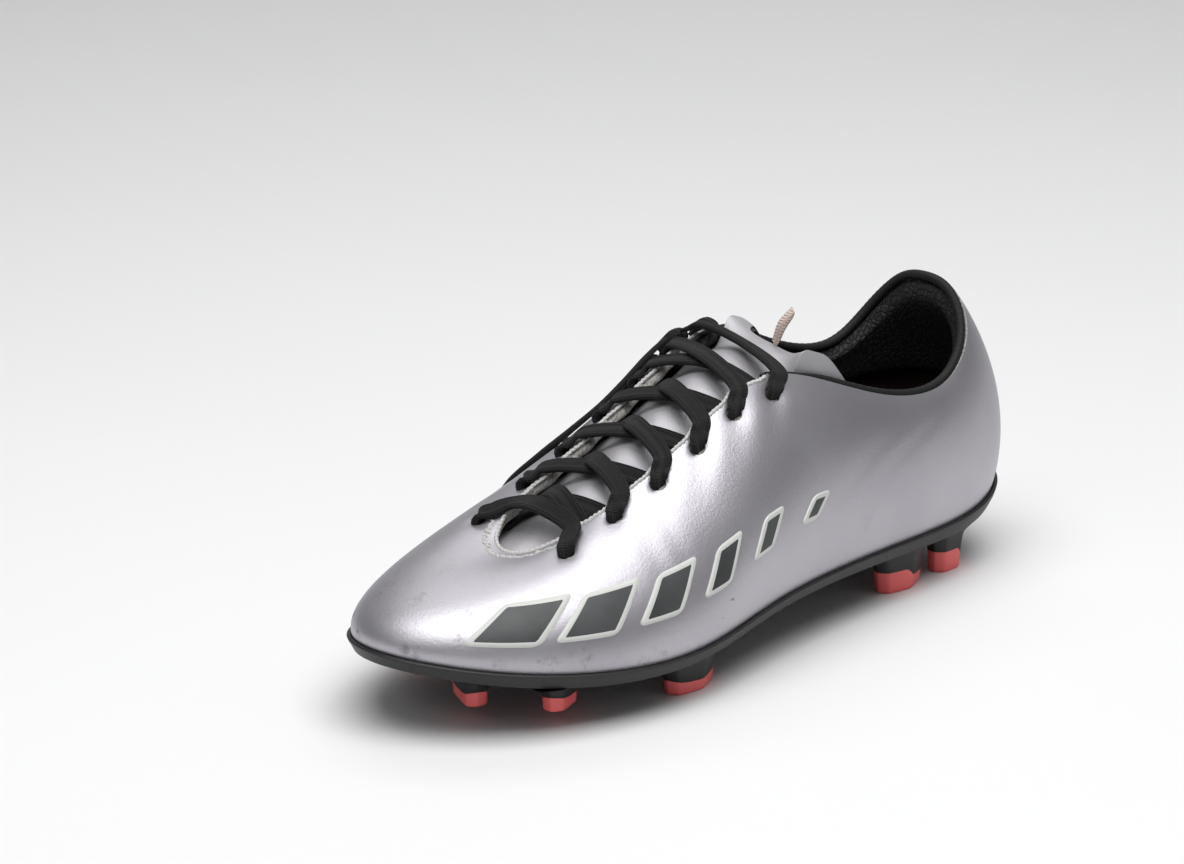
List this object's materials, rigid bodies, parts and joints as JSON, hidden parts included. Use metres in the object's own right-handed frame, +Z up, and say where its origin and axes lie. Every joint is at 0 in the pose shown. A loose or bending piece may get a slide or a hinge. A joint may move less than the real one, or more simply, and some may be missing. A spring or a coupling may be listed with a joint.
{
  "type": "soccer cleat",
  "caption": "Low laced football boot for the left foot: shell upper with padded collar, tongue, lining and foot bed on a moulded plate with blade studs.",
  "frame": {"origin": "on the ground, under the middle of the shoe's box without the bow", "axes": "+X to the toe, +Y to the wearer's left (the outer side), +Z up"},
  "size_m": [0.2766, 0.0966, 0.0977],
  "materials": {
    "plate": "satin black moulded plastic",
    "stud_tip": "coral red moulded plastic",
    "upper_skin": "silver-lilac pearl synthetic with a fine grain",
    "side_film": "charcoal film with an off-white border",
    "lace_cord": "black flat woven lace",
    "aglet": "clear-coated black tube",
    "stiffener": "grey thermoplastic sheet",
    "lining_cloth": "dark maroon knit",
    "collar_padding": "black soft grained synthetic over foam",
    "piping": "black satin piping",
    "board": "pressed fibre board",
    "foam": "grey foam",
    "cover_cloth": "dark maroon cloth",
    "tongue_skin": "thin silver-grey synthetic",
    "tongue_padding": "black padded cloth",
    "tab": "pinkish beige tape"
  },
  "bodies": {
    "shoe": {"aglet_front": "aglet", "aglet_rear": "aglet", "collar_pad": "collar_padding", "collar_piping": "piping", "eyestay_lateral": "stiffener", "eyestay_medial": "stiffener", "heel_counter": "stiffener", "insole_board": "board", "lace": "lace_cord", "lace_knot": "lace_cord", "lace_loop_front": "lace_cord", "lace_loop_rear": "lace_cord", "lace_tail_front": "lace_cord", "lace_tail_rear": "lace_cord", "lining": "lining_cloth", "outsole_plate": "plate", "side_panel_1": "side_film", "side_panel_2": "side_film", "side_panel_3": "side_film", "side_panel_4": "side_film", "side_panel_5": "side_film", "side_panel_6": "side_film", "stud_tip_ball_centre": "stud_tip", "stud_tip_ball_lateral": "stud_tip", "stud_tip_ball_medial": "stud_tip", "stud_tip_front_lateral": "stud_tip", "stud_tip_front_medial": "stud_tip", "stud_tip_heel_front_lateral": "stud_tip", "stud_tip_heel_front_medial": "stud_tip", "stud_tip_heel_rear_lateral": "stud_tip", "stud_tip_heel_rear_medial": "stud_tip", "stud_tip_toe_lateral": "stud_tip", "stud_tip_toe_medial": "stud_tip", "toe_puff": "stiffener", "upper": "upper_skin"},
    "tongue": {"tongue": "tongue_skin", "tongue_pad": "tongue_padding", "tongue_tab": "tab"},
    "sockliner": {"sockliner_foam": "foam", "sockliner_cover": "cover_cloth"}
  },
  "joints": [
    {"name": "tongue_fold", "type": "hinge", "parent": "shoe", "child": "tongue", "pos_m": [0.0865, 0, 0.0415], "axis": [0, 1, 0], "range_deg": [-9, 0]},
    {"name": "sockliner_lift", "type": "hinge", "parent": "shoe", "child": "sockliner", "pos_m": [0.132, 0, 0.0265], "axis": [0, 1, 0], "range_deg": [0, 4]}
  ]
}
